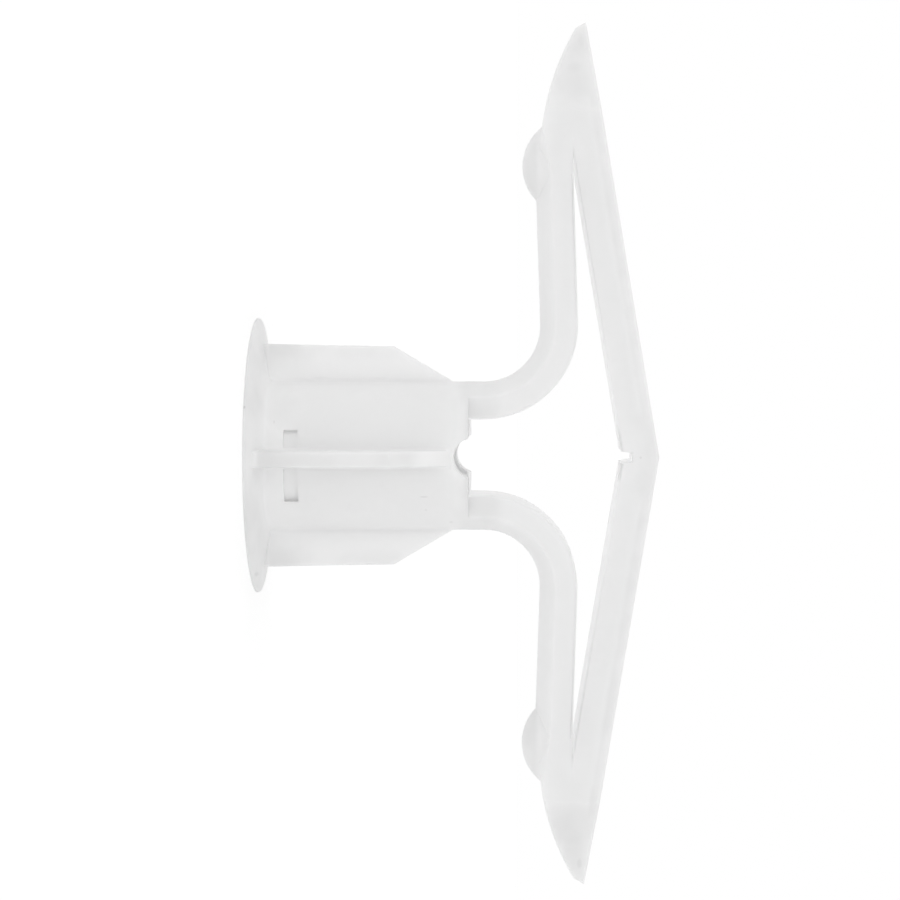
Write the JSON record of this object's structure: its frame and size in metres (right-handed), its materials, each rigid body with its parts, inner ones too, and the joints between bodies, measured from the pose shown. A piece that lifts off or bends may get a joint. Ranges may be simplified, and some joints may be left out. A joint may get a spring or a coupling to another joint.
{
  "type": "hollow wall anchor",
  "caption": "Plastic toggle anchor, sprung open: flange, finned hollow core, two curved arms and two hinged wings with pointed ends.",
  "frame": {"origin": "centre of the flange's flat outer face, on the screw bore's axis", "axes": "+Z along the screw bore into the wall, +X along one wing, +Y across the wings"},
  "size_m": [0.044, 0.014, 0.0204],
  "materials": {
    "anchor": "satin natural polypropylene"
  },
  "bodies": {
    "root": {"anchor": "anchor"}
  },
  "joints": []
}
